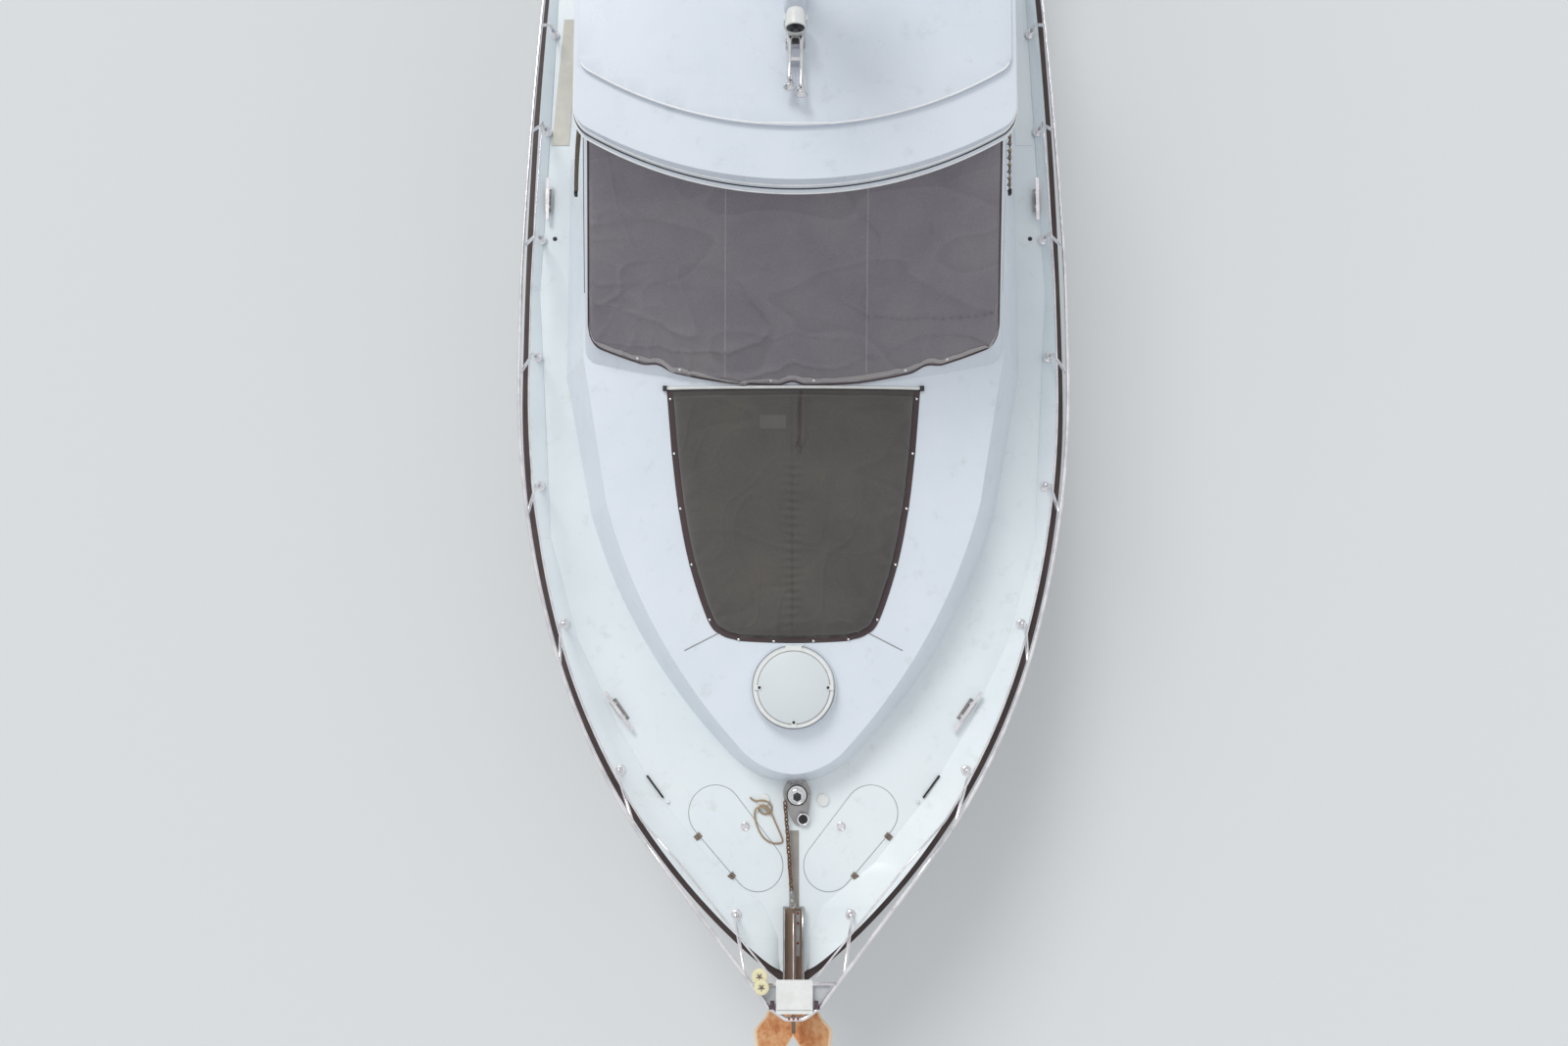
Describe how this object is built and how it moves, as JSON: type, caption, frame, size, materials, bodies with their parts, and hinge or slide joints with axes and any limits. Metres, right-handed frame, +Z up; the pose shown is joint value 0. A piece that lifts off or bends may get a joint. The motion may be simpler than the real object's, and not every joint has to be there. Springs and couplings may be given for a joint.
{
  "type": "motor yacht",
  "caption": "Hardtop motor yacht with planing hull, raised foredeck trunk, guard rails, canvas covers, shafts, rudders and opening hatches.",
  "frame": {"origin": "on the waterline, amidships on the centreline", "axes": "+X to the bow, +Y to port, +Z up"},
  "size_m": [13.99, 4.3858, 5.674],
  "materials": {
    "gelcoat": "gloss white gelcoat",
    "hull_gelcoat": "gloss white gelcoat with dark boot stripe and antifouling",
    "steel": "polished stainless steel",
    "black_rubber": "dull dark rubber",
    "glass": "tinted safety glass",
    "hatch_acrylic": "translucent acrylic",
    "grey_canvas": "dark grey acrylic canvas",
    "seat_vinyl": "cream vinyl",
    "galvanised": "rusty galvanised steel",
    "bronze": "bronze",
    "teak": "weathered teak",
    "engine_paint": "grey enamel",
    "white_plastic": "white plastic",
    "dark_plastic": "dark plastic"
  },
  "bodies": {
    "hull": {"hull": "hull_gelcoat", "deck": "gelcoat", "gunwale": "gelcoat", "rub_rail": "black_rubber", "trunk": "gelcoat", "windscreen_frame": "gelcoat", "windscreen_glass": "glass", "cabin_side_port": "gelcoat", "cabin_side_starboard": "gelcoat", "side_glass_port": "glass", "side_glass_starboard": "glass", "aft_bulkhead": "gelcoat", "roof": "gelcoat", "roof_panel": "gelcoat", "windscreen_cover": "grey_canvas", "sunpad": "grey_canvas", "hatch_plinth": "gelcoat", "bow_roller": "steel", "anchor": "galvanised", "windlass_base": "steel", "chain": "galvanised", "foot_switches": "white_plastic", "cleats": "steel", "guard_rail_port": "steel", "guard_rail_starboard": "steel", "pulpit": "steel", "pulpit_seat": "white_plastic", "mast": "gelcoat", "radome": "white_plastic", "searchlight": "white_plastic", "horns": "steel", "cockpit_sole": "teak", "engines": "engine_paint", "cockpit_seat": "gelcoat", "cockpit_cushion": "seat_vinyl", "swim_platform": "gelcoat", "hinge_leaves": "steel", "helm_console": "dark_plastic", "saloon_seats": "seat_vinyl", "side_deck_teak": "teak", "shaft_brackets": "bronze"},
    "propeller_port": {"propeller_port": "bronze", "shaft_port": "steel"},
    "propeller_starboard": {"propeller_starboard": "bronze", "shaft_starboard": "steel"},
    "rudder_port": {"rudder_port": "bronze"},
    "rudder_starboard": {"rudder_starboard": "bronze"},
    "windlass_drum": {"windlass_drum": "steel"},
    "foredeck_hatch": {"hatch_frame": "white_plastic", "hatch_glass": "hatch_acrylic"},
    "locker_lid_port": {"locker_lid_port": "gelcoat"},
    "locker_lid_starboard": {"locker_lid_starboard": "gelcoat"},
    "saloon_door": {"saloon_door": "steel", "door_glass": "glass"},
    "transom_gate": {"transom_gate": "gelcoat"},
    "engine_hatch": {"engine_hatch": "teak"}
  },
  "joints": [
    {"name": "propeller_port_spin", "type": "hinge", "parent": "hull", "child": "propeller_port", "pos_m": [-5.35, 0.62, -0.73], "axis": [0.9903, 0, 0.1392], "continuous": true},
    {"name": "propeller_starboard_spin", "type": "hinge", "parent": "hull", "child": "propeller_starboard", "pos_m": [-5.35, -0.62, -0.73], "axis": [0.9903, 0, 0.1392], "continuous": true},
    {"name": "rudder_port_turn", "type": "hinge", "parent": "hull", "child": "rudder_port", "pos_m": [-5.79, 0.62, -0.4], "axis": [0, 0, 1], "range_deg": [-35, 35]},
    {"name": "rudder_starboard_turn", "type": "hinge", "parent": "hull", "child": "rudder_starboard", "pos_m": [-5.79, -0.62, -0.4], "axis": [0, 0, 1], "range_deg": [-35, 35]},
    {"name": "windlass_spin", "type": "hinge", "parent": "hull", "child": "windlass_drum", "pos_m": [5.257, 0.028, 1.60851], "axis": [0, 0, 1], "continuous": true},
    {"name": "foredeck_hatch_open", "type": "hinge", "parent": "hull", "child": "foredeck_hatch", "pos_m": [4.133, 0, 1.997], "axis": [0, -1, 0], "range_deg": [0, 80]},
    {"name": "locker_lid_port_open", "type": "hinge", "parent": "hull", "child": "locker_lid_port", "pos_m": [5.72506, 0.58453, 1.65854], "axis": [-0.743, 0.666, -0.0663], "range_deg": [0, 95]},
    {"name": "locker_lid_starboard_open", "type": "hinge", "parent": "hull", "child": "locker_lid_starboard", "pos_m": [5.72506, -0.58453, 1.65854], "axis": [0.743, 0.666, 0.0663], "range_deg": [0, 95]},
    {"name": "saloon_door_slide", "type": "slide", "parent": "hull", "child": "saloon_door", "axis": [0, 1, 0], "range_m": [0, 0.68]},
    {"name": "transom_gate_swing", "type": "hinge", "parent": "hull", "child": "transom_gate", "pos_m": [-6.008, -1.245, 0.85], "axis": [0, 0, 1], "range_deg": [0, 95]},
    {"name": "engine_hatch_open", "type": "hinge", "parent": "hull", "child": "engine_hatch", "pos_m": [-3.21, 0, 0.6423], "axis": [0, 1, 0], "range_deg": [0, 85]}
  ],
  "couplings": [
    {"joint": "rudder_starboard_turn", "follows": "rudder_port_turn", "ratio": 1}
  ]
}
